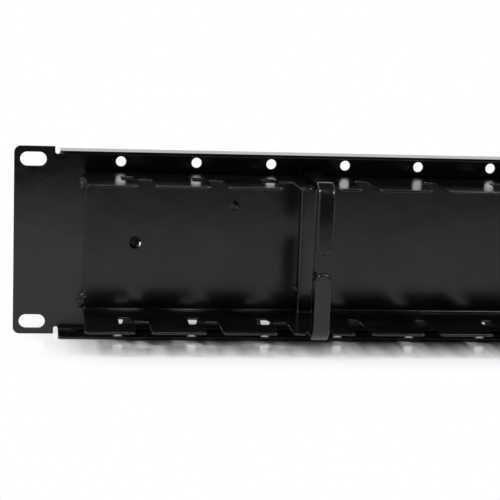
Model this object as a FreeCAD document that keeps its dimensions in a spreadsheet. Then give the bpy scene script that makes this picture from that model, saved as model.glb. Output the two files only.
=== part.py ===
import FreeCAD, Part
import math
import os

import Sketcher

# Two-unit horizontal cable manager for a 19 inch rack, in black sheet steel.
# Frame: X across the rack, Z up, the cable side faces -Y. The origin is the middle of
# the face that seats on the rack rails, so the mounting face is the plane Y = 0.

SIZES = {
    # rear panel: a plate with two rack ears and a short flange along its top and bottom
    "panel_width": 482.6,
    "panel_height": 88.1,
    "panel_thickness": 1.5,
    "panel_bend": 1.0,
    "ear_width": 20.9,
    "ear_corner": 3.0,
    "notch_width": 2.2,
    "notch_depth": 3.5,
    "flange_reach": 14.2,
    "flange_inset": 0.5,
    "flange_corner": 1.5,
    # rack fixing slots, measured in from the ends and the long edges of the panel
    "fixing_inset_x": 8.75,
    "fixing_inset_z": 5.95,
    "fixing_length": 12.1,
    "fixing_width": 6.5,
    # lacing holes along both long edges of the panel
    "lacing_diameter": 4.7,
    "lacing_pitch": 35.0,
    "lacing_count": 12,
    "lacing_edge": 6.4,
    # cable tray: a folded channel welded to the front of the panel
    "tray_length": 418.0,
    "tray_height": 66.2,
    "tray_depth": 47.0,
    "tray_thickness": 1.2,
    "tray_bend": 1.0,
    "tray_corner": 1.5,
    # outside the rings, hook slots: an entry from the lip and a pocket beside it
    "entry_width": 6.3,
    "entry_depth": 22.0,
    "entry_flare": 1.1,
    "entry_corner": 2.0,
    "pocket_reach": 7.4,
    "pocket_start": 16.5,
    "pocket_end": 29.5,
    "pocket_slant": 2.5,
    "hook_pitch": 31.75,
    "hook_count": 3,
    "hook_ring_gap": 11.5,
    # between the rings, straight slots: an entry alone
    "slot_width": 5.4,
    "slot_depth": 28.5,
    "slot_ring_gap": 17.6,
    "lip_corner": 2.0,
    "tongue_corner": 1.2,
    # fixing holes on the middle line: a clearance hole in the tray, a pilot in the panel
    "tray_hole_diameter": 5.2,
    "tray_hole_inset": 23.9,
    "pilot_diameter": 2.2,
    "pilot_shift": 2.5,
    "pilot_drop": 1.1,
    # cable rings: one bent strap each, open at the front
    "strap_width": 7.6,
    "strap_thickness": 2.5,
    "strap_bend": 2.5,
    "strap_front_bend": 5.0,
    "ring_reach": 51.0,
    "finger_gap": 8.1,
    "strap_clearance": 0.3,
    "lip_notch_clearance": 1.8,
    "lip_notch_margin": 1.5,
    # weld beads
    "tack_radius": 1.5,
    "tack_length": 5.6,
    "tray_tack_inset": 5.1,
    "strap_tack_radius": 1.3,
    "strap_tack_length": 4.4,
    "strap_tack_low": 11.6,
    "strap_tack_high": 18.1,
}

doc = FreeCAD.newDocument("cable_manager")
sheet = doc.addObject("Spreadsheet::Sheet", "Sizes")
for row, (alias, size) in enumerate(SIZES.items(), start=1):
    sheet.set("A%d" % row, alias)
    sheet.set("B%d" % row, str(size))
    sheet.setAlias("B%d" % row, alias)
doc.recompute()

# Plain lengths that several pieces share, each written once as an expression.
PANEL_FRONT = "Sizes.panel_thickness"
FLANGE_FACE = "(Sizes.panel_height / 2 - Sizes.flange_inset)"
EAR_START = "(Sizes.panel_width / 2 - Sizes.ear_width)"
TRAY_FACE = "(Sizes.tray_height / 2)"
TRAY_FLOOR = "(Sizes.panel_thickness + Sizes.tray_thickness)"
TRAY_LIP = "(Sizes.panel_thickness + Sizes.tray_depth)"
STRAP_FACE = "(Sizes.tray_height / 2 + Sizes.strap_thickness)"
STRAP_FRONT = "(Sizes.panel_thickness + Sizes.ring_reach)"
TRAY_HOLE_X = "(Sizes.tray_length / 2 - Sizes.tray_hole_inset)"
# The rings stand at the middle of each half of the tray.
RING_X = "(Sizes.tray_length / 4)"


def value(expression):
    """The number that an expression of sheet cells has now."""
    return float(sheet.evalExpression(expression))


def new_body(label):
    body = doc.addObject("PartDesign::Body", label)
    body.Label = label
    return body


def origin_feature(body, role):
    return next(f for f in body.Origin.OriginFeatures if f.Role == role)


def new_sketch(body, name, role, offset=None):
    """A sketch on one of the body's own origin planes, moved off it by an expression."""
    sketch = body.newObject("Sketcher::SketchObject", name)
    sketch.AttachmentSupport = [(origin_feature(body, role), "")]
    sketch.MapMode = "FlatFace"
    if offset:
        sketch.setExpression("AttachmentOffset.Base.z", offset)
    return sketch


def fix_point(sketch, geometry, point, corner):
    """Hold one point of a sketch at two distances from the sketch's origin."""
    for kind, distance in zip(("DistanceX", "DistanceY"), corner):
        held = Sketcher.Constraint(kind, -1, 1, geometry, point, value(distance))
        index = sketch.addConstraint(held)
        sketch.setExpression("Constraints[%d]" % index, distance)


def outline(sketch, corners):
    """A closed outline of straight edges through corners given as expressions."""
    points = [FreeCAD.Vector(value(u), value(v), 0) for u, v in corners]
    ends = points[1:] + points[:1]
    lines = [Part.LineSegment(a, b) for a, b in zip(points, ends)]
    first = sketch.addGeometry(lines, False)[0]
    for i, corner in enumerate(corners):
        after = first + (i + 1) % len(corners)
        sketch.addConstraint(Sketcher.Constraint("Coincident", first + i, 2, after, 1))
        fix_point(sketch, first + i, 1, corner)


def rectangle(sketch, low, high):
    outline(sketch, [low, (high[0], low[1]), high, (low[0], high[1])])


def circle(sketch, centre, diameter):
    middle = FreeCAD.Vector(value(centre[0]), value(centre[1]), 0)
    shape = Part.Circle(middle, FreeCAD.Vector(0, 0, 1), value(diameter) / 2)
    index = sketch.addGeometry(shape, False)
    fix_point(sketch, index, 3, centre)
    held = sketch.addConstraint(Sketcher.Constraint("Diameter", index, value(diameter)))
    sketch.setExpression("Constraints[%d]" % held, diameter)


def pad(body, name, sketch, length, midplane=False, reverse=False):
    feature = body.newObject("PartDesign::Pad", name)
    feature.Profile = sketch
    feature.Midplane = midplane
    feature.Reversed = reverse
    feature.setExpression("Length", length)
    doc.recompute()
    return feature


def pocket(body, name, sketch, length, midplane=False, reverse=False):
    """A cut of a stated length, refused when it removes nothing."""
    before = body.Shape.Volume
    feature = body.newObject("PartDesign::Pocket", name)
    feature.Profile = sketch
    feature.Midplane = midplane
    feature.Reversed = reverse
    feature.setExpression("Length", length)
    doc.recompute()
    if body.Shape.Volume >= before:
        raise ValueError("%s removes nothing" % name)
    return feature


def round_edges(body, name, radius, wanted):
    """Fillet every edge of the body's present shape that the test picks out."""
    base = body.Tip
    edges = ["Edge%d" % i for i, e in enumerate(base.Shape.Edges, start=1) if wanted(e)]
    feature = body.newObject("PartDesign::Fillet", name)
    feature.Base = (base, edges)
    feature.setExpression("Radius", radius)
    doc.recompute()
    return feature


def lies_along(edge, axis):
    """Whether a straight edge runs along the axis X, Y or Z."""
    if not isinstance(edge.Curve, Part.Line):
        return False
    return abs(getattr(edge.Curve.Direction, axis)) > 0.999


def near(a, b):
    return abs(a - b) < 1e-4


def repeat(body, name, features, steps):
    """Repeat features by mirrors and rows, one transformation after the other."""
    multi = body.newObject("PartDesign::MultiTransform", name)
    multi.Originals = features
    moves = []
    for index, (kind, settings) in enumerate(steps):
        move = body.newObject("PartDesign::" + kind, "%s_%s_%d" % (name, kind, index))
        if kind == "Mirrored":
            move.MirrorPlane = (origin_feature(body, settings["plane"]), [""])
        else:
            move.Direction = (origin_feature(body, "X_Axis"), [""])
            move.Mode = "Spacing"
            move.setExpression("Offset", settings["step"])
            move.setExpression("Occurrences", settings["count"])
        moves.append(move)
    multi.Transformations = moves
    body.Tip = multi
    doc.recompute()
    return multi


MIRROR_SIDES = ("Mirrored", {"plane": "YZ_Plane"})
MIRROR_EDGES = ("Mirrored", {"plane": "XY_Plane"})


def make_rear_panel():
    """The plate: a folded channel between two flat ears, with slots, notches and holes."""
    body = new_body("rear_panel")
    inner = "(%s - Sizes.panel_thickness)" % FLANGE_FACE
    section = new_sketch(body, "panel_section", "YZ_Plane")
    outline(section, [
        ("0", FLANGE_FACE), ("-Sizes.flange_reach", FLANGE_FACE),
        ("-Sizes.flange_reach", inner), ("-" + PANEL_FRONT, inner),
        ("-" + PANEL_FRONT, "-" + inner), ("-Sizes.flange_reach", "-" + inner),
        ("-Sizes.flange_reach", "-" + FLANGE_FACE), ("0", "-" + FLANGE_FACE)])
    pad(body, "panel_channel", section, "2 * " + EAR_START, midplane=True)

    front = -value(PANEL_FRONT)
    round_edges(body, "panel_bend_inside", "Sizes.panel_bend",
                lambda e: lies_along(e, "x") and near(e.CenterOfMass.y, front))
    round_edges(body, "panel_bend_outside", "Sizes.panel_bend + Sizes.panel_thickness",
                lambda e: lies_along(e, "x") and near(e.CenterOfMass.y, 0))
    lip = -value("Sizes.flange_reach")
    round_edges(body, "flange_corners", "Sizes.flange_corner",
                lambda e: lies_along(e, "z") and near(e.CenterOfMass.y, lip))

    ears = new_sketch(body, "ear_outline", "XZ_Plane")
    half_width = "Sizes.panel_width / 2"
    half_height = "Sizes.panel_height / 2"
    rectangle(ears, ("-" + half_width, "-" + half_height), ("-" + EAR_START, half_height))
    rectangle(ears, (EAR_START, "-" + half_height), (half_width, half_height))
    pad(body, "ears", ears, "Sizes.panel_thickness")
    edge = value(half_width)
    round_edges(body, "ear_corners", "Sizes.ear_corner",
                lambda e: lies_along(e, "y") and near(abs(e.CenterOfMass.x), edge))

    through = "4 * Sizes.flange_reach"
    notch = new_sketch(body, "notch_outline", "XZ_Plane")
    notch_out = "%s + Sizes.notch_width" % EAR_START
    notch_root = "Sizes.panel_height / 2 - Sizes.notch_depth + Sizes.notch_width / 2"
    rectangle(notch, (EAR_START, notch_root), (notch_out, "Sizes.panel_height"))
    slit = pocket(body, "notch_slit", notch, through, midplane=True)
    bottom = new_sketch(body, "notch_root_outline", "XZ_Plane")
    circle(bottom, ("%s + Sizes.notch_width / 2" % EAR_START, notch_root), "Sizes.notch_width")
    root = pocket(body, "notch_root", bottom, through, midplane=True)
    repeat(body, "notches", [slit, root], [MIRROR_SIDES, MIRROR_EDGES])

    slot = new_sketch(body, "fixing_outline", "XZ_Plane")
    add_slot(slot, ("Sizes.panel_width / 2 - Sizes.fixing_inset_x",
                    "Sizes.panel_height / 2 - Sizes.fixing_inset_z"),
             "Sizes.fixing_length", "Sizes.fixing_width")
    cut = pocket(body, "fixing_slot", slot, through, midplane=True)
    repeat(body, "fixing_slots", [cut], [MIRROR_SIDES, MIRROR_EDGES])

    hole = new_sketch(body, "lacing_outline", "XZ_Plane")
    circle(hole, ("-Sizes.lacing_pitch * (Sizes.lacing_count - 1) / 2",
                  "Sizes.panel_height / 2 - Sizes.lacing_edge"), "Sizes.lacing_diameter")
    cut = pocket(body, "lacing_hole", hole, through, midplane=True)
    row = ("LinearPattern", {"step": "Sizes.lacing_pitch", "count": "Sizes.lacing_count"})
    repeat(body, "lacing_rows", [cut], [row, MIRROR_EDGES])

    pilot = new_sketch(body, "pilot_outline", "XZ_Plane")
    circle(pilot, (TRAY_HOLE_X + " - Sizes.pilot_shift", "-Sizes.pilot_drop"),
           "Sizes.pilot_diameter")
    cut = pocket(body, "pilot_hole", pilot, through, midplane=True)
    repeat(body, "pilot_holes", [cut], [MIRROR_SIDES])
    return body


def add_slot(sketch, centre, length, width):
    """A round-ended slot along the sketch's first axis."""
    reach = "(%s - %s) / 2" % (length, width)
    radius = value(width) / 2
    run = FreeCAD.Vector(value(reach), 0, 0)
    rise = FreeCAD.Vector(0, radius, 0)
    middle = FreeCAD.Vector(value(centre[0]), value(centre[1]), 0)
    normal = FreeCAD.Vector(0, 0, 1)
    quarter = math.pi / 2
    right_end = Part.ArcOfCircle(Part.Circle(middle + run, normal, radius), -quarter, quarter)
    top = Part.LineSegment(middle + run + rise, middle - run + rise)
    left_end = Part.ArcOfCircle(Part.Circle(middle - run, normal, radius), quarter, 3 * quarter)
    base = Part.LineSegment(middle - run - rise, middle + run - rise)
    a, b, c, d = sketch.addGeometry([right_end, top, left_end, base], False)
    for one, two in ((a, b), (b, c), (c, d), (d, a)):
        sketch.addConstraint(Sketcher.Constraint("Tangent", one, 2, two, 1))
    sketch.addConstraint(Sketcher.Constraint("Equal", a, c))
    held = sketch.addConstraint(Sketcher.Constraint("Radius", a, radius))
    sketch.setExpression("Constraints[%d]" % held, width + " / 2")
    fix_point(sketch, a, 3, ("%s + %s" % (centre[0], reach), centre[1]))
    fix_point(sketch, c, 3, ("%s - %s" % (centre[0], reach), centre[1]))


def make_cable_tray():
    """The channel that holds the cables, with hook slots in both flanges."""
    body = new_body("cable_tray")
    inner = "(%s - Sizes.tray_thickness)" % TRAY_FACE
    section = new_sketch(body, "tray_section", "YZ_Plane")
    outline(section, [
        ("-" + PANEL_FRONT, TRAY_FACE), ("-" + TRAY_LIP, TRAY_FACE),
        ("-" + TRAY_LIP, inner), ("-" + TRAY_FLOOR, inner),
        ("-" + TRAY_FLOOR, "-" + inner), ("-" + TRAY_LIP, "-" + inner),
        ("-" + TRAY_LIP, "-" + TRAY_FACE), ("-" + PANEL_FRONT, "-" + TRAY_FACE)])
    pad(body, "tray_channel", section, "Sizes.tray_length", midplane=True)

    floor = -value(TRAY_FLOOR)
    round_edges(body, "tray_bend_inside", "Sizes.tray_bend",
                lambda e: lies_along(e, "x") and near(e.CenterOfMass.y, floor))
    back = -value(PANEL_FRONT)
    round_edges(body, "tray_bend_outside", "Sizes.tray_bend + Sizes.tray_thickness",
                lambda e: lies_along(e, "x") and near(e.CenterOfMass.y, back))
    lip = -value(TRAY_LIP)
    round_edges(body, "tray_corners", "Sizes.tray_corner",
                lambda e: lies_along(e, "z") and near(e.CenterOfMass.y, lip))

    # One hook: its entry opens on the lip and its pocket lies further back, on one side.
    # The first hook is the one nearest the tray's left end, and the row starts from it.
    hook = new_sketch(body, "hook_outline", "XY_Plane")
    row = "(Sizes.hook_count - 1) * Sizes.hook_pitch"
    entry_right = "-%s - Sizes.hook_ring_gap - %s" % (RING_X, row)
    entry_left = "%s - Sizes.entry_width" % entry_right
    pocket_left = "%s - Sizes.pocket_reach" % entry_left
    opening = "-%s - Sizes.tray_thickness" % TRAY_LIP
    outline(hook, [
        (entry_right, opening),
        (entry_right, "-%s + Sizes.entry_depth" % TRAY_LIP),
        (entry_left, "-%s + Sizes.entry_depth" % TRAY_LIP),
        (entry_left + " - Sizes.pocket_slant", "-%s + Sizes.pocket_end" % TRAY_LIP),
        (pocket_left, "-%s + Sizes.pocket_end" % TRAY_LIP),
        (pocket_left, "-%s + Sizes.pocket_start" % TRAY_LIP),
        (entry_left, "-%s + Sizes.pocket_start" % TRAY_LIP),
        (entry_left + " - Sizes.entry_flare", opening)])
    cut = pocket(body, "hook_slot", hook, "2 * Sizes.tray_height", midplane=True)
    row = ("LinearPattern", {"step": "Sizes.hook_pitch", "count": "Sizes.hook_count"})
    repeat(body, "hook_slots", [cut], [row, MIRROR_SIDES])

    slot = new_sketch(body, "straight_outline", "XY_Plane")
    slot_left = "-%s + Sizes.slot_ring_gap" % RING_X
    slot_right = "%s + Sizes.slot_width" % slot_left
    outline(slot, [
        (slot_right + " + Sizes.entry_flare", opening),
        (slot_right, "-%s + Sizes.slot_depth" % TRAY_LIP),
        (slot_left, "-%s + Sizes.slot_depth" % TRAY_LIP),
        (slot_left + " - Sizes.entry_flare", opening)])
    cut = pocket(body, "straight_slot", slot, "2 * Sizes.tray_height", midplane=True)
    repeat(body, "straight_slots", [cut], [row, MIRROR_SIDES])
    # The lips are notched round each ring, because its front bends start behind them.
    notch = new_sketch(body, "lip_notch_outline", "XY_Plane")
    notch_half = "(Sizes.strap_width / 2 + Sizes.lip_notch_clearance)"
    notch_root = "-(%s - Sizes.strap_thickness - Sizes.strap_front_bend" % STRAP_FRONT
    notch_root += " - Sizes.lip_notch_margin)"
    rectangle(notch, ("%s - %s" % (RING_X, notch_half), "-%s - Sizes.tray_thickness" % TRAY_LIP),
              ("%s + %s" % (RING_X, notch_half), notch_root))
    cut = pocket(body, "lip_notch", notch, "2 * Sizes.tray_height", midplane=True)
    repeat(body, "lip_notches", [cut], [MIRROR_SIDES])

    # The corners at the lip, the far corners of each entry and the free corner of each
    # tongue are rounded, and the rest stay as sharp as the punch leaves them.
    end = value("Sizes.tray_length / 2 - Sizes.tray_corner")
    entry_end = lip + value("Sizes.entry_depth")
    slot_end = lip + value("Sizes.slot_depth")
    pocket_side = lip + value("Sizes.pocket_start")
    punched = body.Shape

    def has_metal_aside(edge):
        """Whether the flange goes on towards the lip, on the edge's side nearest the ring."""
        inward = math.copysign(value("Sizes.tray_thickness"), -edge.CenterOfMass.x)
        aside = FreeCAD.Vector(inward, -value("Sizes.tray_thickness"), 0)
        return punched.isInside(edge.CenterOfMass + aside, 1e-3, False)

    round_edges(body, "lip_corners", "Sizes.lip_corner",
                lambda e: lies_along(e, "z") and near(e.CenterOfMass.y, lip)
                and abs(e.CenterOfMass.x) < end)
    round_edges(body, "entry_corners", "Sizes.entry_corner",
                lambda e: lies_along(e, "z") and (near(e.CenterOfMass.y, slot_end) or (
                    near(e.CenterOfMass.y, entry_end) and has_metal_aside(e))))
    round_edges(body, "tongue_corners", "Sizes.tongue_corner",
                lambda e: lies_along(e, "z") and near(e.CenterOfMass.y, pocket_side)
                and not has_metal_aside(e))

    # Each ring's strap leaves the tray through a slot cut in the bends, beside the floor.
    bend_start = "Sizes.tray_height / 2 - Sizes.tray_thickness - Sizes.tray_bend"
    slot = new_sketch(body, "strap_slot_outline", "XY_Plane", offset=bend_start)
    half = "(Sizes.strap_width / 2 + Sizes.strap_clearance)"
    reach = "(%s + Sizes.strap_thickness + Sizes.strap_bend + Sizes.strap_clearance)" % TRAY_FLOOR
    rectangle(slot, ("%s - %s" % (RING_X, half), "-" + reach), ("%s + %s" % (RING_X, half), "0"))
    cut = pocket(body, "strap_slot", slot, "Sizes.tray_height", reverse=True)
    repeat(body, "strap_slots", [cut], [MIRROR_SIDES, MIRROR_EDGES])

    hole = new_sketch(body, "tray_hole_outline", "XZ_Plane")
    circle(hole, (TRAY_HOLE_X, "0"), "Sizes.tray_hole_diameter")
    cut = pocket(body, "tray_hole", hole, "4 * %s" % TRAY_FLOOR, midplane=True)
    repeat(body, "tray_holes", [cut], [MIRROR_SIDES])
    return body


def make_ring(label, side):
    """One flat strap bent into a ring, with a gap between its two round-ended fingers."""
    body = new_body(label)
    back = TRAY_FLOOR
    back_in = "(%s + Sizes.strap_thickness)" % TRAY_FLOOR
    front = STRAP_FRONT
    front_in = "(%s - Sizes.strap_thickness)" % STRAP_FRONT
    outer = STRAP_FACE
    inner = TRAY_FACE
    gap = "Sizes.finger_gap / 2"
    section = new_sketch(body, label + "_section", "YZ_Plane")
    outline(section, [
        ("-" + front, gap), ("-" + front, outer), ("-" + back, outer),
        ("-" + back, "-" + outer), ("-" + front, "-" + outer), ("-" + front, "-" + gap),
        ("-" + front_in, "-" + gap), ("-" + front_in, "-" + inner),
        ("-" + back_in, "-" + inner), ("-" + back_in, inner),
        ("-" + front_in, inner), ("-" + front_in, gap)])
    pad(body, label + "_strap", section, "Sizes.strap_width", midplane=True)
    # The two bends at the back are tight, and the two at the front are wider.
    middle = -(value(back) + value(front)) / 2
    for place, radius, is_here in (("back", "Sizes.strap_bend", lambda y: y > middle),
                                   ("front", "Sizes.strap_front_bend", lambda y: y < middle)):
        for face, extra in ((inner, ""), (outer, " + Sizes.strap_thickness")):
            level = value(face)
            side_name = "inside" if face == inner else "outside"
            round_edges(body, "%s_%s_bend_%s" % (label, place, side_name), radius + extra,
                        lambda e: lies_along(e, "x") and near(abs(e.CenterOfMass.z), level)
                        and is_here(e.CenterOfMass.y))
    tip = value(gap)
    round_edges(body, label + "_fingertips", "Sizes.strap_width / 2 * 0.999",
                lambda e: lies_along(e, "y") and near(abs(e.CenterOfMass.z), tip))
    body.setExpression("Placement.Base.x", "%d * %s" % (side, RING_X))
    return body


def make_beads(label, radius, length, corners):
    """Weld beads, each a quarter of a short round bar that fills a square corner."""
    beads = []
    for index, (x, y, z, turn) in enumerate(corners):
        bead = doc.addObject("Part::Cylinder", "%s_%d" % (label, index))
        bead.setExpression("Radius", radius)
        bead.setExpression("Height", length)
        bead.Angle = 90
        bead.Placement.Rotation = FreeCAD.Rotation(FreeCAD.Vector(0, 0, 1), turn)
        bead.setExpression("Placement.Base.x", x)
        bead.setExpression("Placement.Base.y", y)
        bead.setExpression("Placement.Base.z", "%s - %s / 2" % (z, length))
        beads.append(bead)
    group = doc.addObject("Part::Compound", label)
    group.Label = label
    group.Links = beads
    return group


make_rear_panel()
make_cable_tray()
make_ring("left_ring", -1)
make_ring("right_ring", 1)

tray_end = "Sizes.tray_length / 2"
tack_height = "(%s - Sizes.tray_tack_inset)" % TRAY_FACE
make_beads("tray_tack_welds", "Sizes.tack_radius", "Sizes.tack_length", [
    ("%d * %s" % (side, tray_end), "-" + PANEL_FRONT, "%d * %s" % (level, tack_height),
     270 if side > 0 else 180)
    for side in (-1, 1) for level in (-1, 1)])
strap_edge = "Sizes.strap_width / 2"
make_beads("ring_tack_welds", "Sizes.strap_tack_radius", "Sizes.strap_tack_length", [
    ("%d * %s + %d * %s" % (ring, RING_X, edge, strap_edge), "-" + TRAY_FLOOR,
     "%s - %s" % (rise, TRAY_FACE),
     270 if edge > 0 else 180)
    for ring in (-1, 1)
    for edge, rise in ((-1, "Sizes.strap_tack_low"), (1, "Sizes.strap_tack_high"))])
doc.recompute()

for obj in doc.Objects:
    if "Invalid" in obj.State or "Error" in obj.State:
        raise RuntimeError("%s failed: %s" % (obj.Label, obj.State))

os.makedirs("parts", exist_ok=True)
NODES = ("rear_panel", "cable_tray", "left_ring", "right_ring",
         "tray_tack_welds", "ring_tack_welds")
for label in NODES:
    shape = doc.getObjectsByLabel(label)[0].Shape
    if shape.isNull() or not shape.isValid():
        raise RuntimeError("%s has no valid shape" % label)
    shape.exportStep("parts/%s.step" % label)
    print(label, round(shape.Volume, 2), len(shape.Solids))
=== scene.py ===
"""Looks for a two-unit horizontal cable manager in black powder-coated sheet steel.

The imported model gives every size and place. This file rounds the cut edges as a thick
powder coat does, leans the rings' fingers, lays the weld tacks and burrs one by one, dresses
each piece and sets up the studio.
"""

import logging
import math
from dataclasses import dataclass, field
from enum import Enum

import bmesh
import bpy
from mathutils import Matrix, Vector, noise


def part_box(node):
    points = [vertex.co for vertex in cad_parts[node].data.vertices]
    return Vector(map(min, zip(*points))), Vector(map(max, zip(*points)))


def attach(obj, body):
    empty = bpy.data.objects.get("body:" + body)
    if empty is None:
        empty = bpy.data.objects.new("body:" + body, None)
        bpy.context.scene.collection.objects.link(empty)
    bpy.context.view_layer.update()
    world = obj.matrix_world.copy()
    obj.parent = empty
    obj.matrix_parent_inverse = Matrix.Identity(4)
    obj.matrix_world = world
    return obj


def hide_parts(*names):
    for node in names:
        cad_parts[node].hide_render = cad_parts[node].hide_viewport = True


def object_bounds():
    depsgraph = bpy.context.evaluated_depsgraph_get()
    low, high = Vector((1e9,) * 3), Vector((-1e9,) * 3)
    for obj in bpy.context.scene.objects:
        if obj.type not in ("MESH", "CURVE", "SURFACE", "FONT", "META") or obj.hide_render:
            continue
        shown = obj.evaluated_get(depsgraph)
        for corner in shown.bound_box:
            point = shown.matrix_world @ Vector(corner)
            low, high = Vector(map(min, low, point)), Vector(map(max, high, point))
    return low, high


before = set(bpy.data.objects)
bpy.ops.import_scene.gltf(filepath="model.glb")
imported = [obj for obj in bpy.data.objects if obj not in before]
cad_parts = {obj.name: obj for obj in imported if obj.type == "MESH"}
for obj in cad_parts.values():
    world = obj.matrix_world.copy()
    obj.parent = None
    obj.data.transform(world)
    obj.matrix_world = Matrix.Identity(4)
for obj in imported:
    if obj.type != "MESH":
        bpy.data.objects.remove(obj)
CAD_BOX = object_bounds()

LOG = logging.getLogger("cable_manager")
MM = 0.001
MERGE_DISTANCE = 1e-6
CUT_DISTANCE = 1e-7
# A noise texture mostly stays between these two values.
NOISE_LOW, NOISE_HIGH = 0.35, 0.65
Settings = dict[str, object]
Links = dict[str, bpy.types.NodeSocket]
Point = tuple[float, float, float]


class Side(Enum):
    """The two ends of the manager, seen from the cable side."""

    LEFT = -1
    RIGHT = 1


class Level(Enum):
    """The lower and the upper edge of the channel."""

    LOWER = -1
    UPPER = 1


def linear_colour(hex_code: str) -> tuple[float, float, float, float]:
    """Turns an sRGB hex colour to the linear colour that a shader takes.

    Args:
        hex_code: Six hex digits after a hash sign.

    Returns:
        Linear red, green and blue, and an alpha of 1.
    """
    channels = [int(hex_code[i:i + 2], 16) / 255 for i in (1, 3, 5)]
    linear = [c / 12.92 if c <= 0.04045 else ((c + 0.055) / 1.055) ** 2.4 for c in channels]
    return (linear[0], linear[1], linear[2], 1.0)


def add_node(tree: bpy.types.NodeTree, kind: str, settings: Settings | None = None,
             links: Links | None = None) -> bpy.types.Node:
    """Adds one node with its settings and its incoming links.

    Args:
        tree: The node tree that takes the node.
        kind: The node's type name.
        settings: Attributes of the node, or defaults of its inputs, by name.
        links: For each input's name, the output that feeds it.

    Returns:
        The new node.
    """
    node = tree.nodes.new(kind)
    for name, setting in (settings or {}).items():
        if hasattr(node, name):
            setattr(node, name, setting)
        else:
            socket = node.inputs[int(name)] if name.isdigit() else node.inputs[name]
            socket.default_value = setting
    for name, output in (links or {}).items():
        socket = node.inputs[int(name)] if name.isdigit() else node.inputs[name]
        tree.links.new(output, socket)
    return node


def seen_or_mirrored(tree: bpy.types.NodeTree) -> bpy.types.NodeSocket:
    """Adds nodes that tell rays of the eye, of gloss and of glass from scattered light.

    Args:
        tree: The node tree that takes the nodes.

    Returns:
        An output that is 1 for those rays and 0 for the others.
    """
    path = add_node(tree, "ShaderNodeLightPath")
    gloss = add_node(tree, "ShaderNodeMath", {"operation": "MAXIMUM"}, {
        "0": path.outputs["Is Camera Ray"], "1": path.outputs["Is Glossy Ray"]})
    glass = add_node(tree, "ShaderNodeMath", {"operation": "MAXIMUM"}, {
        "0": gloss.outputs[0], "1": path.outputs["Is Transmission Ray"]})
    return glass.outputs[0]


def empty_material(name: str) -> bpy.types.Material:
    """Makes a node material with nothing in it.

    Args:
        name: The material's name.

    Returns:
        The new material.
    """
    material = bpy.data.materials.new(name)
    material.use_nodes = True
    material.node_tree.nodes.clear()
    return material


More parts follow.
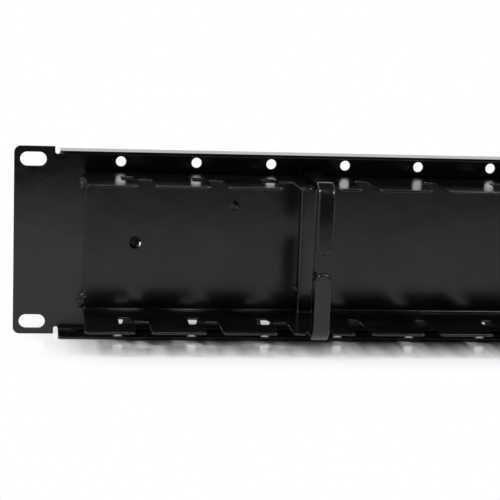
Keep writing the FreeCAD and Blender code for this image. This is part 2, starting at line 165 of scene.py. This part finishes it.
@dataclass(frozen=True)
class PowderCoat:
    """Baked polyester powder coat: one thick glossy skin with a faint orange peel.

    It is nearly black, so the eye sees it by what it mirrors: a clear, slightly soft image
    that the waves of the sheet bend, and a little dust and cloud in the pigment.

    Attributes:
        name: The finish's name.
        colour: The pigment's sRGB colour.
        cloud_colour: Its sRGB colour where the powder lies thin.
        gloss_roughness: Roughness of the clean skin.
        haze: How much rougher the skin is where it is hazy.
        haze_mm: Size of the hazy patches.
        cloud_mm: Size of the clouds in the pigment.
        dust_mm: Size of a speck of dust.
        dust_colour: A speck's sRGB colour.
        peel_mm: Distance from crest to crest of the orange peel.
        peel_height_mm: Height of the orange peel.
        wave_mm: Distance from crest to crest of the slow waves in the sheet under it.
        wave_height_mm: Height of those waves.
        refraction: How strongly the skin mirrors, as its index of refraction.
    """

    name: str
    colour: str = "#040404"
    cloud_colour: str = "#0f0f10"
    gloss_roughness: float = 0.11
    haze: float = 0.05
    haze_mm: float = 28.0
    cloud_mm: float = 13.0
    dust_mm: float = 0.7
    dust_colour: str = "#2b2b2c"
    peel_mm: float = 1.6
    peel_height_mm: float = 0.0025
    wave_mm: float = 15.0
    wave_height_mm: float = 0.11
    refraction: float = 1.47

    def build(self) -> bpy.types.Material:
        """Builds the material.

        Returns:
            A near-black gloss with hazy patches, clouds, dust, waves and orange peel.
        """
        material = empty_material(self.name)
        tree = material.node_tree
        place = add_node(tree, "ShaderNodeTexCoord").outputs["Object"]
        patches = add_node(tree, "ShaderNodeTexNoise", {
            "Scale": 1 / (self.haze_mm * MM), "Detail": 3.0}, {"Vector": place})
        roughness = add_node(tree, "ShaderNodeMapRange", {
            "From Min": NOISE_LOW, "From Max": NOISE_HIGH, "To Min": self.gloss_roughness,
            "To Max": self.gloss_roughness + self.haze}, {"Value": patches.outputs["Fac"]})

        # The sheet's waves bend a mirror image; the peel on them breaks its edges up.
        waves = add_node(tree, "ShaderNodeTexNoise", {
            "Scale": 1 / (self.wave_mm * MM), "Detail": 2.0}, {"Vector": place})
        sheet = add_node(tree, "ShaderNodeBump", {
            "Strength": 1.0, "Distance": self.wave_height_mm * MM},
            {"Height": waves.outputs["Fac"]})
        peel = add_node(tree, "ShaderNodeTexNoise", {
            "Scale": 1 / (self.peel_mm * MM), "Detail": 1.5}, {"Vector": place})
        bump = add_node(tree, "ShaderNodeBump", {
            "Strength": 1.0, "Distance": self.peel_height_mm * MM},
            {"Height": peel.outputs["Fac"], "Normal": sheet.outputs["Normal"]})

        clouds = add_node(tree, "ShaderNodeTexNoise", {
            "Scale": 1 / (self.cloud_mm * MM), "Detail": 4.0}, {"Vector": place})
        cloudy = add_node(tree, "ShaderNodeMapRange", {
            "From Min": NOISE_LOW, "From Max": NOISE_HIGH}, {"Value": clouds.outputs["Fac"]})
        pigment = add_node(tree, "ShaderNodeMix", {"data_type": "RGBA"},
                           {"Factor": cloudy.outputs["Result"]})
        pigment.inputs["A"].default_value = linear_colour(self.colour)
        pigment.inputs["B"].default_value = linear_colour(self.cloud_colour)

        # Real dust is finer; these specks are as coarse as they need to be to show, and
        # only the noise's rare peaks make one.
        speck_rim, speck_core = 0.74, 0.82
        dust = add_node(tree, "ShaderNodeTexNoise", {
            "Scale": 1 / (self.dust_mm * MM), "Detail": 0.0}, {"Vector": place})
        specks = add_node(tree, "ShaderNodeMapRange", {
            "From Min": speck_rim, "From Max": speck_core}, {"Value": dust.outputs["Fac"]})
        colour = add_node(tree, "ShaderNodeMix", {"data_type": "RGBA"},
                          {"Factor": specks.outputs["Result"]})
        tree.links.new(pigment.outputs["Result"], colour.inputs["A"])
        colour.inputs["B"].default_value = linear_colour(self.dust_colour)

        coat = add_node(tree, "ShaderNodeBsdfPrincipled", {"IOR": self.refraction}, {
            "Base Color": colour.outputs["Result"], "Roughness": roughness.outputs["Result"],
            "Normal": bump.outputs["Normal"]})
        add_node(tree, "ShaderNodeOutputMaterial", None, {"Surface": coat.outputs["BSDF"]})
        return material


def add_shape(shape: bmesh.types.BMesh, part: bmesh.types.BMesh) -> None:
    """Adds a part to a shape.

    Args:
        shape: The shape that takes it.
        part: The part, which is freed.
    """
    mesh = bpy.data.meshes.new("part")
    part.to_mesh(mesh)
    part.free()
    shape.from_mesh(mesh)
    bpy.data.meshes.remove(mesh)


def finish_object(shape: bmesh.types.BMesh, name: str,
                  material: bpy.types.Material) -> bpy.types.Object:
    """Turns a bmesh into a smooth-shaded object at the origin.

    Args:
        shape: The shape, which is freed.
        name: The piece's name.
        material: The piece's one material.

    Returns:
        The new object, linked to the scene.
    """
    mesh = bpy.data.meshes.new(name)
    shape.to_mesh(mesh)
    shape.free()
    mesh.materials.append(material)
    for polygon in mesh.polygons:
        polygon.use_smooth = True
        polygon.material_index = 0
    piece = bpy.data.objects.new(name, mesh)
    bpy.context.scene.collection.objects.link(piece)
    return piece


@dataclass
class FoldedSheet:
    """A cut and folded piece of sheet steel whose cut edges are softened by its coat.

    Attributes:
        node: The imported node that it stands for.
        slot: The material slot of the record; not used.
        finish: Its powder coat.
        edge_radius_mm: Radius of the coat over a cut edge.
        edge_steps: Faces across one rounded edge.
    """

    node: str
    slot: str
    finish: PowderCoat
    edge_radius_mm: float
    edge_steps: int = 3

    def build(self) -> bpy.types.Object:
        """Builds, dresses and mounts the piece.

        Returns:
            The finished piece.
        """
        shape = bmesh.new()
        shape.from_mesh(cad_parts[self.node].data)
        bmesh.ops.remove_doubles(shape, verts=shape.verts, dist=MERGE_DISTANCE)
        self.form(shape)
        self.soften_edges(shape)
        self.keep_inside(shape)
        piece = finish_object(shape, self.node + "_coated", self.finish.build())
        flat_faces = piece.modifiers.new("flat_faces", "WEIGHTED_NORMAL")
        flat_faces.keep_sharp = False
        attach(piece, "root")
        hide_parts(self.node)
        return piece

    def form(self, shape: bmesh.types.BMesh) -> None:
        """Gives the piece the small bows of real bent metal; a plain sheet has none."""

    def keep_inside(self, shape: bmesh.types.BMesh) -> None:
        """Moves whatever a rounded edge pushed out of the node's box back to the box.

        Args:
            shape: The shape.
        """
        low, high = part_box(self.node)
        for vert in shape.verts:
            vert.co = Vector(min(max(vert.co[i], low[i]), high[i]) for i in range(3))

    def soften_edges(self, shape: bmesh.types.BMesh) -> None:
        """Rounds every sharp edge by the thickness of the coat over it."""
        self.round_over(shape, cut_edges(shape), self.edge_radius_mm)

    def round_over(self, shape: bmesh.types.BMesh, edges: list[bmesh.types.BMEdge],
                   radius_mm: float) -> None:
        """Rounds some edges of a shape.

        Args:
            shape: The shape.
            edges: The edges to round.
            radius_mm: The radius.
        """
        bmesh.ops.bevel(shape, geom=edges, offset=radius_mm * MM, offset_type="OFFSET",
                        segments=self.edge_steps, profile=0.5, affect="EDGES",
                        clamp_overlap=False, material=-1)


def cut_edges(shape: bmesh.types.BMesh) -> list[bmesh.types.BMEdge]:
    """Finds the square edges that a punch or a shear leaves."""
    square = math.radians(50)
    return [e for e in shape.edges if e.is_manifold and e.calc_face_angle() > square]


@dataclass
class RearPanel(FoldedSheet):
    """The panel, whose long edges are folded towards the cables.

    Attributes:
        rim_radius_mm: Radius of the coat over the folds' long cut edges.
    """

    rim_radius_mm: float = 0.45

    def soften_edges(self, shape: bmesh.types.BMesh) -> None:
        """Rounds the folds' cut edges well over, and the punched edges only a little.

        Args:
            shape: The panel.
        """
        slack = 0.1 * MM
        along = 0.999
        rim = min(v.co.y for v in shape.verts) + slack
        rims = [e for e in cut_edges(shape) if all(v.co.y < rim for v in e.verts)
                and abs((e.verts[1].co - e.verts[0].co).normalized().x) > along]
        self.round_over(shape, rims, self.rim_radius_mm)
        super().soften_edges(shape)


@dataclass
class CableTray(FoldedSheet):
    """The channel, whose two sheared ends have rolled over on the inside.

    Attributes:
        sheet_mm: Thickness of its sheet.
        rollover_mm: Radius of the ends' inner edges.
        burr_edge_mm: Radius of the ends' outer edges.
    """

    sheet_mm: float = 1.2
    rollover_mm: float = 0.9
    burr_edge_mm: float = 0.12

    def soften_edges(self, shape: bmesh.types.BMesh) -> None:
        """Rounds the ends' inner edges well over, their outer ones a little, then the rest.

        Args:
            shape: The channel.
        """
        slack = 0.02 * MM
        reach, floor, top = (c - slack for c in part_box(self.node)[1])
        sheet = self.sheet_mm * MM - 2 * slack
        inner = [e for e in cut_edges(shape) if all(
            abs(v.co.x) > reach and v.co.y < floor - sheet and abs(v.co.z) < top - sheet
            for v in e.verts)]
        self.round_over(shape, inner, self.rollover_mm)
        outer = [e for e in cut_edges(shape) if all(abs(v.co.x) > reach for v in e.verts)]
        self.round_over(shape, outer, self.burr_edge_mm)
        super().soften_edges(shape)


@dataclass
class Ring(FoldedSheet):
    """A ring of round-edged flat bar, whose upper finger leans back a little.

    Attributes:
        finger_tip_mm: Height of the upper finger's tip.
        finger_top_mm: Height of the bar's upper face.
        bend_start_mm: Distance from the panel's rear at which the bar starts to give.
        bend_length_mm: Length over which it gives more and more.
        lean_mm: How far the finger has leaned back at the top, along a straight line.
        bow_mm: How much further it has bowed back there.
    """

    finger_tip_mm: float = 4.0
    finger_top_mm: float = 35.6
    bend_start_mm: float = 30.0
    bend_length_mm: float = 18.0
    lean_mm: float = 0.35
    bow_mm: float = 0.45

    def form(self, shape: bmesh.types.BMesh) -> None:
        """Leans the upper finger back, fading out along the bar above the channel.

        Args:
            shape: The ring.
        """
        tip, rise = self.finger_tip_mm, self.finger_top_mm - self.finger_tip_mm
        # Level cuts up to the finger's bend let it bow in one smooth curve.
        parts, straight_parts = 12, 8
        for level in (tip + rise * step / parts for step in range(1, straight_parts + 1)):
            geometry = shape.verts[:] + shape.edges[:] + shape.faces[:]
            bmesh.ops.bisect_plane(shape, geom=geometry, dist=CUT_DISTANCE,
                                   plane_co=(0, 0, level * MM), plane_no=(0, 0, 1))
        for vert in shape.verts:
            height = (vert.co.z / MM - tip) / rise
            along = (-vert.co.y / MM - self.bend_start_mm) / self.bend_length_mm
            share = min(1.0, max(0.0, along))
            if height > 0.0:
                vert.co.y += share * (self.lean_mm * height + self.bow_mm * height ** 2) * MM
        flat = math.radians(0.1)
        bmesh.ops.dissolve_limit(shape, angle_limit=flat, verts=shape.verts,
                                 edges=shape.edges)


def lumpy_drop(size_mm: Vector, rough: float, lumps: float, seed: float) -> bmesh.types.BMesh:
    """Shapes a drop of weld metal about the origin.

    Args:
        size_mm: Its half sizes.
        rough: Height of its lumps, as a share of its size.
        lumps: How many lumps there are across its half size.
        seed: Which bit of the noise shapes it.

    Returns:
        The drop, in metres.
    """
    drop = bmesh.new()
    bmesh.ops.create_icosphere(drop, subdivisions=4, radius=1.0)
    skew, finer, share = 0.7, 2.7, 0.5
    offset = Vector((seed, seed * skew, -seed))
    for vert in drop.verts:
        coarse = noise.noise(vert.co * lumps + offset)
        fine = noise.noise(vert.co * lumps * finer - offset)
        grow = 1.0 + rough * (coarse + share * fine)
        vert.co = Vector(vert.co[i] * size_mm[i] * grow * MM for i in range(3))
    return drop


@dataclass
class HoleBurrs:
    """The ragged burrs that the pilot holes' drill left in the tray's two holes, dressed a dead
    black that is painted shade for the dark inside the holes.

    Attributes:
        finish: Their thin, dull, near-black skin, which paints the shade inside the holes.
        hole_x_mm: Distance of the holes from the middle.
        shift_mm: How far a burr lies outwards of and above its hole's middle.
        half_size_mm: A burr's half sizes.
        rough: Height of its rags, as a share of its size.
        lumps: How many rags there are across its half size.
        seed: Which bit of the noise shapes it.
    """

    finish: PowderCoat
    hole_x_mm: float = 185.1
    shift_mm: tuple[float, float] = (0.5, 0.55)
    half_size_mm: Point = (2.5, 0.95, 2.75)
    rough: float = 0.8
    lumps: float = 2.2
    seed: float = 5.3

    def build(self) -> bpy.types.Object:
        """Builds, dresses and mounts both burrs.

        Returns:
            The burrs as one piece.
        """
        shape = bmesh.new()
        plate_face = in_mm(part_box("cable_tray")[1])[1]
        for side in Side:
            burr = lumpy_drop(Vector(self.half_size_mm), self.rough, self.lumps,
                              self.seed * side.value)
            place = Vector((side.value * (self.hole_x_mm + self.shift_mm[0]), plate_face,
                            self.shift_mm[1]))
            bmesh.ops.translate(burr, vec=place * MM, verts=burr.verts)
            add_shape(shape, burr)
        piece = finish_object(shape, "hole_burrs_with_painted_shade", self.finish.build())
        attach(piece, "root")
        return piece


@dataclass
class WeldTack:
    """One hand-laid tack of weld metal in a square corner, under its coat.

    Attributes:
        corner_mm: The corner's place.
        reach_mm: How far it reaches over the flat behind it, and out from that flat.
        length_mm: Its length along Z.
        out: The side that it lies on, as the sign of X.
        seed: Which bit of the noise shapes it.
        over_edge: Whether it has run over the edge, so that nothing cuts off its side.
        rough: Height of its lumps, as a share of its size.
        lumps: How many lumps there are across its half size.
        sink_mm: How deep it goes into the faces that it sits on.
    """

    corner_mm: Point
    reach_mm: tuple[float, float]
    length_mm: float
    out: int
    seed: float
    over_edge: bool = False
    rough: float = 0.45
    lumps: float = 2.6
    sink_mm: float = 0.15

    def add_to(self, shape: bmesh.types.BMesh) -> None:
        """Adds the tack: a lumpy drop, cut off at the faces that it sits on.

        Args:
            shape: The shape that takes it.
        """
        size = Vector((self.reach_mm[0], self.reach_mm[1], self.length_mm / 2))
        drop = lumpy_drop(size, self.rough, self.lumps, self.seed)
        mid = Vector(self.corner_mm) * MM
        bmesh.ops.translate(drop, vec=mid, verts=drop.verts)
        walls = [Vector((0, 1, 0))]
        if not self.over_edge:
            walls.append(Vector((-self.out, 0, 0)))
        for normal in walls:
            geometry = drop.verts[:] + drop.edges[:] + drop.faces[:]
            cut = bmesh.ops.bisect_plane(drop, geom=geometry, clear_outer=True,
                                         plane_co=mid + normal * (self.sink_mm * MM),
                                         plane_no=normal)
            rim = [e for e in cut["geom_cut"] if isinstance(e, bmesh.types.BMEdge)]
            bmesh.ops.edgeloop_fill(drop, edges=rim)
        bmesh.ops.recalc_face_normals(drop, faces=drop.faces)
        add_shape(shape, drop)


@dataclass
class WeldTacks:
    """All the tacks of one kind, as one piece.

    Attributes:
        node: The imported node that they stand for.
        finish: The coat over them.
        tacks: The tacks.
    """

    node: str
    finish: PowderCoat
    tacks: list[WeldTack]

    def build(self) -> bpy.types.Object:
        """Builds, dresses and mounts the tacks.

        Returns:
            The tacks as one piece.
        """
        shape = bmesh.new()
        for tack in self.tacks:
            tack.add_to(shape)
        piece = finish_object(shape, self.node + "_laid", self.finish.build())
        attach(piece, "root")
        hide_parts(self.node)
        return piece


@dataclass
class CableManager:
    """The whole manager: panel, tray, two rings, their weld tacks and the holes' burrs.

    Attributes:
        gloss: The coat on the panel.
        tray_gloss: The coat in the channel.
        strap_gloss: The coat on the rings.
        weld_gloss: The coat over the tacks.
        painted_hole_shade_skin: What coat there is on the burrs: a dull near-black that paints
            the shade inside the tray's holes.
    """

    # Flat and open, where the powder flowed out best: a clear, deep mirror image.
    gloss: PowderCoat = field(default_factory=lambda: PowderCoat("gloss_black_powder_coat"))
    # Thinner and less flowed out between the flanges: a softer and darker image.
    tray_gloss: PowderCoat = field(default_factory=lambda: PowderCoat(
        "gloss_black_powder_coat_in_the_channel", gloss_roughness=0.16, refraction=1.43))
    # Over round-edged bar: a slightly soft image drawn out to long glints at the edges.
    strap_gloss: PowderCoat = field(default_factory=lambda: PowderCoat(
        "gloss_black_powder_coat_on_flat_bar", gloss_roughness=0.13))
    # Thick over lumps of weld: small hard glints, broken by a finer and higher peel.
    weld_gloss: PowderCoat = field(default_factory=lambda: PowderCoat(
        "powder_coat_over_weld_metal", gloss_roughness=0.08, peel_mm=0.8, peel_height_mm=0.02))
    # Hardly covered: next to no mirror image, so that a burr is a dead black rag. That dead
    # black is painted shade, standing in for the dark inside the tray's holes.
    painted_hole_shade_skin: PowderCoat = field(default_factory=lambda: PowderCoat(
        "dull_burr_with_painted_hole_shade", "#020202", "#020202", gloss_roughness=0.15,
        refraction=1.25))

    def build(self) -> list[bpy.types.Object]:
        """Builds every piece in the order in which it goes together.

        Returns:
            The finished pieces.
        """
        makers = [
            RearPanel("rear_panel", "panel_coat", self.gloss, edge_radius_mm=0.1),
            CableTray("cable_tray", "tray_coat", self.tray_gloss, edge_radius_mm=0.45),
            Ring("left_ring", "ring_coat", self.strap_gloss, edge_radius_mm=1.1, edge_steps=5),
            Ring("right_ring", "ring_coat", self.strap_gloss, edge_radius_mm=1.1, edge_steps=5),
            self.tray_tacks(),
            self.ring_tacks(),
            HoleBurrs(self.painted_hole_shade_skin),
        ]
        pieces = []
        for maker in makers:
            piece = maker.build()
            LOG.info("%s: %d faces", piece.name, len(piece.data.polygons))
            pieces.append(piece)
        return pieces

    def tray_tacks(self) -> WeldTacks:
        """Lays the tacks that hold the tray's ends to the panel.

        Returns:
            At each corner of the tray a tack against the panel and a splash on the tray,
            and one flat drop of spatter on the tray.
        """
        end, plate_face, half = in_mm(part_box("cable_tray")[1])
        channel_face = plate_face - CableTray.sheet_mm
        below_edge, inwards, higher = 5.1, 0.5, 0.4
        tacks = []
        for side in Side:
            for level in Level:
                corner = (side.value * end, plate_face, level.value * (half - below_edge))
                # Unlike seeds, so that no two tacks are alike.
                seed = 3.1 * side.value + 1.7 * level.value
                tacks.append(WeldTack(corner, reach_mm=(2.7, 1.9), length_mm=6.6,
                                      out=side.value, seed=seed))
                front = (side.value * (end - inwards), channel_face, corner[2] + higher)
                tacks.append(WeldTack(front, reach_mm=(1.7, 1.1), length_mm=4.8,
                                      out=side.value, seed=seed + 0.4, over_edge=True))
        spatter = (-139.1, channel_face, 18.2)
        tacks.append(WeldTack(spatter, reach_mm=(1.9, 0.4), length_mm=4.2,
                              out=Side.LEFT.value, seed=8.2, over_edge=True))
        return WeldTacks("tray_tack_welds", self.weld_gloss, tacks)

    def ring_tacks(self) -> WeldTacks:
        """Lays the two tacks of each ring, staggered on the two edges of its strap.

        Returns:
            The tacks of both rings.
        """
        tacks = []
        tray_half = in_mm(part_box("cable_tray")[1])[2]
        rises_mm = {Side.LEFT: 11.6, Side.RIGHT: 18.1}
        for node in ("left_ring", "right_ring"):
            low, high = (in_mm(corner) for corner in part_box(node))
            for side, rise in rises_mm.items():
                edge = low[0] if side is Side.LEFT else high[0]
                corner = (edge, high[1], rise - tray_half)
                tacks.append(WeldTack(corner, reach_mm=(1.6, 1.4), length_mm=4.6,
                                      out=side.value, seed=low[0] + side.value))
        return WeldTacks("ring_tack_welds", self.weld_gloss, tacks)


def in_mm(point: Point) -> Point:
    """Turns a point in metres to millimetres."""
    return tuple(c / MM for c in point)


@dataclass(frozen=True)
class WhiteGlossBoard:
    """Painted gloss board: it takes the manager's shadow and mirrors its foot.

    Farther out it is plain white to the eye and in the gloss, as the backdrop is. In the gloss
    its white glow turns grey towards the front: painted shade for light that falls off there,
    so that upright faces stay dark near their foot.

    Attributes:
        colour: The paint's sRGB colour.
        roughness: Roughness of the paint.
        refraction: Its index of refraction.
        core: Half sizes of the block round the middle where only the paint shows.
        fade: Distance from it over which the paint gives way to plain white, in metres.
        painted_shade_front: Y at and before which the gloss sees the deepest painted shade.
        painted_shade_back: Y from which the gloss sees full white, free of painted shade.
        deepest_painted_shade: Level of the white glow where the painted shade is deepest.
    """

    colour: str = "#f4f4f4"
    roughness: float = 0.12
    refraction: float = 1.5
    core: Point = (0.185, 0.012, 1.0)
    fade: float = 0.062
    painted_shade_front: float = -0.56
    painted_shade_back: float = -0.23
    deepest_painted_shade: float = 0.38

    def build(self) -> bpy.types.Material:
        """Builds the material.

        Returns:
            The paint near the manager, and white light past it.
        """
        material = empty_material("white_gloss_board")
        tree = material.node_tree
        place = add_node(tree, "ShaderNodeTexCoord").outputs["Object"]
        reach = add_node(tree, "ShaderNodeVectorMath", {"operation": "ABSOLUTE"}, {"0": place})
        past = add_node(tree, "ShaderNodeVectorMath", {"operation": "SUBTRACT", "1": self.core},
                        {"0": reach.outputs[0]})
        outside = add_node(tree, "ShaderNodeVectorMath", {
            "operation": "MAXIMUM", "1": (0.0, 0.0, 0.0)}, {"0": past.outputs[0]})
        distance = add_node(tree, "ShaderNodeVectorMath", {"operation": "LENGTH"},
                            {"0": outside.outputs[0]})
        far = add_node(tree, "ShaderNodeMapRange", {
            "interpolation_type": "SMOOTHSTEP", "From Min": 0.0, "From Max": self.fade},
            {"Value": distance.outputs["Value"]})
        board = add_node(tree, "ShaderNodeBsdfPrincipled", {
            "Base Color": linear_colour(self.colour), "Roughness": self.roughness,
            "IOR": self.refraction})
        # Painted shade: the white glow that the gloss sees greys towards the front, as if the
        # board's light fell off there.
        part = add_node(tree, "ShaderNodeSeparateXYZ", None, {"0": place})
        fall = add_node(tree, "ShaderNodeMapRange", {
            "From Min": self.painted_shade_front, "From Max": self.painted_shade_back, "To Min": self.deepest_painted_shade,
            "To Max": 1.0}, {"Value": part.outputs["Y"]})
        plain = add_node(tree, "ShaderNodeMath", {"operation": "MAXIMUM"}, {
            "0": fall.outputs["Result"],
            "1": add_node(tree, "ShaderNodeLightPath").outputs["Is Camera Ray"]})
        white = add_node(tree, "ShaderNodeEmission", {"Color": linear_colour("#ffffff")},
                         {"Strength": plain.outputs[0]})
        blend = add_node(tree, "ShaderNodeMath", {"operation": "MULTIPLY"}, {
            "0": far.outputs["Result"], "1": seen_or_mirrored(tree)})
        mix = add_node(tree, "ShaderNodeMixShader", None, {
            "0": blend.outputs[0], "1": board.outputs["BSDF"], "2": white.outputs["Emission"]})
        add_node(tree, "ShaderNodeOutputMaterial", None, {"Surface": mix.outputs["Shader"]})
        return material


@dataclass(frozen=True)
class GreyCloth:
    """Dull woven cloth: matt and even, so that the gloss shows it as one plain dark.

    Attributes:
        colour: Its sRGB colour.
    """

    colour: str

    def build(self) -> bpy.types.Material:
        """Builds the material.

        Returns:
            A matt grey.
        """
        material = empty_material("dull_grey_cloth")
        tree = material.node_tree
        cloth = add_node(tree, "ShaderNodeBsdfDiffuse", {"Color": linear_colour(self.colour)})
        add_node(tree, "ShaderNodeOutputMaterial", None, {"Surface": cloth.outputs["BSDF"]})
        return material


@dataclass(frozen=True)
class WhiteBackdrop:
    """A white backdrop behind and beside the manager, in a dim room.

    The eye and the gloss see plain white all round. These levels are only the light that
    it scatters on the manager, by the direction's Y and Z.

    Attributes:
        side: Y from which the backdrop shows at all.
        behind: Y from which it shows in full.
        low: Z up to which it is white.
        high: Z from which it is darkest.
        high_level: Its level there.
        room_low: Z up to which the room is darkest.
        room_high: Z from which it is lightest.
        room_levels: The room's darkest and lightest level.
    """

    side: float = -0.35
    behind: float = 0.2
    low: float = 0.25
    high: float = 0.65
    high_level: float = 0.2
    room_low: float = 0.1
    room_high: float = 0.6
    room_levels: tuple[float, float] = (0.08, 0.2)

    def build(self) -> bpy.types.World:
        """Builds the world.

        Returns:
            The new world.
        """
        world = bpy.data.worlds.new("studio")
        world.use_nodes = True
        tree = world.node_tree
        tree.nodes.clear()
        direction = add_node(tree, "ShaderNodeTexCoord").outputs["Generated"]
        part = add_node(tree, "ShaderNodeSeparateXYZ", None, {"0": direction})
        behind = add_node(tree, "ShaderNodeMapRange", {
            "interpolation_type": "SMOOTHSTEP", "From Min": self.side,
            "From Max": self.behind}, {"Value": part.outputs["Y"]})
        low = add_node(tree, "ShaderNodeMapRange", {
            "interpolation_type": "SMOOTHSTEP", "From Min": self.low, "From Max": self.high,
            "To Min": 1.0, "To Max": self.high_level}, {"Value": part.outputs["Z"]})
        backdrop = add_node(tree, "ShaderNodeMath", {"operation": "MULTIPLY"}, {
            "0": behind.outputs["Result"], "1": low.outputs["Result"]})
        room = add_node(tree, "ShaderNodeMapRange", {
            "interpolation_type": "SMOOTHSTEP", "From Min": self.room_low,
            "From Max": self.room_high, "To Min": self.room_levels[0],
            "To Max": self.room_levels[1]}, {"Value": part.outputs["Z"]})
        level = add_node(tree, "ShaderNodeMath", {"operation": "MAXIMUM"}, {
            "0": backdrop.outputs[0], "1": room.outputs["Result"]})
        seen = add_node(tree, "ShaderNodeMath", {"operation": "MAXIMUM"}, {
            "0": level.outputs[0], "1": seen_or_mirrored(tree)})
        sky = add_node(tree, "ShaderNodeBackground", {"Color": linear_colour("#ffffff")},
                       {"Strength": seen.outputs[0]})
        add_node(tree, "ShaderNodeOutputWorld", None, {"Surface": sky.outputs["Background"]})
        return world


@dataclass(frozen=True)
class Flag:
    """A hung cloth that the gloss and the scattered light meet, and the camera doesn't.

    Attributes:
        name: Its name.
        corners: Its four corners, in metres.
        cloth: Its finish.
    """

    name: str
    corners: tuple[Point, ...]
    cloth: GreyCloth

    def hang(self) -> None:
        """Hangs the cloth as a part of the stage."""
        material = self.cloth.build()
        shape = bmesh.new()
        shape.faces.new([shape.verts.new(corner) for corner in self.corners])
        flag = finish_object(shape, self.name, material)
        flag.visible_camera = False


@dataclass(frozen=True)
class SoftBox:
    """A rectangular lamp.

    Attributes:
        name: The lamp's name.
        place: Where it hangs, in metres.
        target: What it is turned to.
        size: Its width and height.
        watts: Its power.
    """

    name: str
    place: Point
    target: Point
    size: tuple[float, float]
    watts: float

    def hang(self) -> None:
        """Hangs the lamp and turns it to its target."""
        light = bpy.data.lights.new(self.name, "AREA")
        light.shape = "RECTANGLE"
        light.size, light.size_y = self.size
        light.energy = self.watts
        lamp = bpy.data.objects.new(self.name, light)
        lamp.location = self.place
        aim = Vector(self.target) - Vector(self.place)
        lamp.rotation_euler = aim.to_track_quat("-Z", "Y").to_euler()
        bpy.context.scene.collection.objects.link(lamp)


@dataclass
class Studio:
    """A white floor and backdrop, two grey flags, four small soft boxes and the camera.

    Attributes:
        floor_reach: Half the side of the floor, in metres.
        eye: Where the camera stands, in metres.
        yaw: How far it is turned to the right, in degrees.
        pitch: How far it looks down, in degrees.
        roll: How far its right side is raised, in degrees.
        lens: Its focal length, in millimetres.
        sensor: The width of its sensor, in millimetres.
        shift: Its sideways shift, as a share of that width.
    """

    floor_reach: float = 3.0
    eye: Point = (-0.2259, -0.7133, 0.1263)
    yaw: float = 7.10
    pitch: float = 10.23
    roll: float = 2.00
    lens: float = 111.67
    sensor: float = 36.0
    shift: float = 0.026

    def build(self) -> None:
        """Sets up the whole studio."""
        self.lay_floor()
        bpy.context.scene.world = WhiteBackdrop().build()
        self.hang_flags()
        self.hang_lamps()
        self.place_camera()

    def lay_floor(self) -> None:
        """Lays a white gloss board under the manager."""
        shape = bmesh.new()
        bmesh.ops.create_grid(shape, x_segments=1, y_segments=1, size=self.floor_reach)
        bmesh.ops.translate(shape, vec=Vector((0, 0, CAD_BOX[0][2])), verts=shape.verts)
        finish_object(shape, "floor", WhiteGlossBoard().build())

    def hang_flags(self) -> None:
        """Hangs grey cloth in front and overhead, so that the gloss has darks to show."""
        floor, foot, head, back, top = CAD_BOX[0][2], -0.54, -0.95, 1.8, 1.2
        left, far_left, right = -0.28, -0.9, 1.5
        front = ((left, foot, floor), (right, foot, floor), (right, head, top),
                 (left, head, top))
        overhead = ((far_left, head, top), (right, head, top), (right, back, top),
                    (far_left, back, top))
        Flag("front_flag", front, GreyCloth("#3c3c3c")).hang()
        Flag("top_flag", overhead, GreyCloth("#6a6a6a")).hang()

    def hang_lamps(self) -> None:
        """Hangs small boxes at both sides, over the channel's left end and at the front."""
        for box in (
            SoftBox("left_box", place=(-0.7, -0.25, 0.75), target=(0.0, -0.1, 0.0),
                    size=(0.2, 0.2), watts=4.0),
            SoftBox("right_box", place=(0.7, -0.25, 0.75), target=(0.0, -0.1, 0.0),
                    size=(0.2, 0.2), watts=4.0),
            SoftBox("top_box", place=(-0.1, -0.37, 0.82), target=(-0.15, 0.0, 0.0),
                    size=(0.16, 0.1), watts=1.6),
            SoftBox("front_box", place=(0.3, -0.58, 0.78), target=(-0.1, 0.0, 0.0),
                    size=(0.15, 0.15), watts=3.5),
        ):
            box.hang()

    def place_camera(self) -> None:
        """Stands the camera in front of the manager's left end, a little above it."""
        yaw, pitch, roll = (math.radians(a) for a in (self.yaw, self.pitch, self.roll))
        forward = Vector((math.sin(yaw) * math.cos(pitch), math.cos(yaw) * math.cos(pitch),
                          -math.sin(pitch)))
        level_right = Vector((math.cos(yaw), -math.sin(yaw), 0))
        level_up = level_right.cross(forward)
        right = math.cos(roll) * level_right + math.sin(roll) * level_up
        up = right.cross(forward)
        turn = Matrix((right, up, -forward)).transposed()
        data = bpy.data.cameras.new("camera")
        data.lens = self.lens
        data.sensor_width = self.sensor
        data.shift_x = self.shift
        camera = bpy.data.objects.new("camera", data)
        camera.matrix_world = Matrix.Translation(Vector(self.eye)) @ turn.to_4x4()
        bpy.context.scene.collection.objects.link(camera)
        bpy.context.scene.camera = camera


def main() -> None:
    """Builds the manager and its studio."""
    logging.basicConfig(level=logging.INFO, format="%(message)s")
    bpy.context.scene.view_settings.view_transform = "Standard"
    CableManager().build()
    Studio().build()


if __name__ == "__main__":
    main()
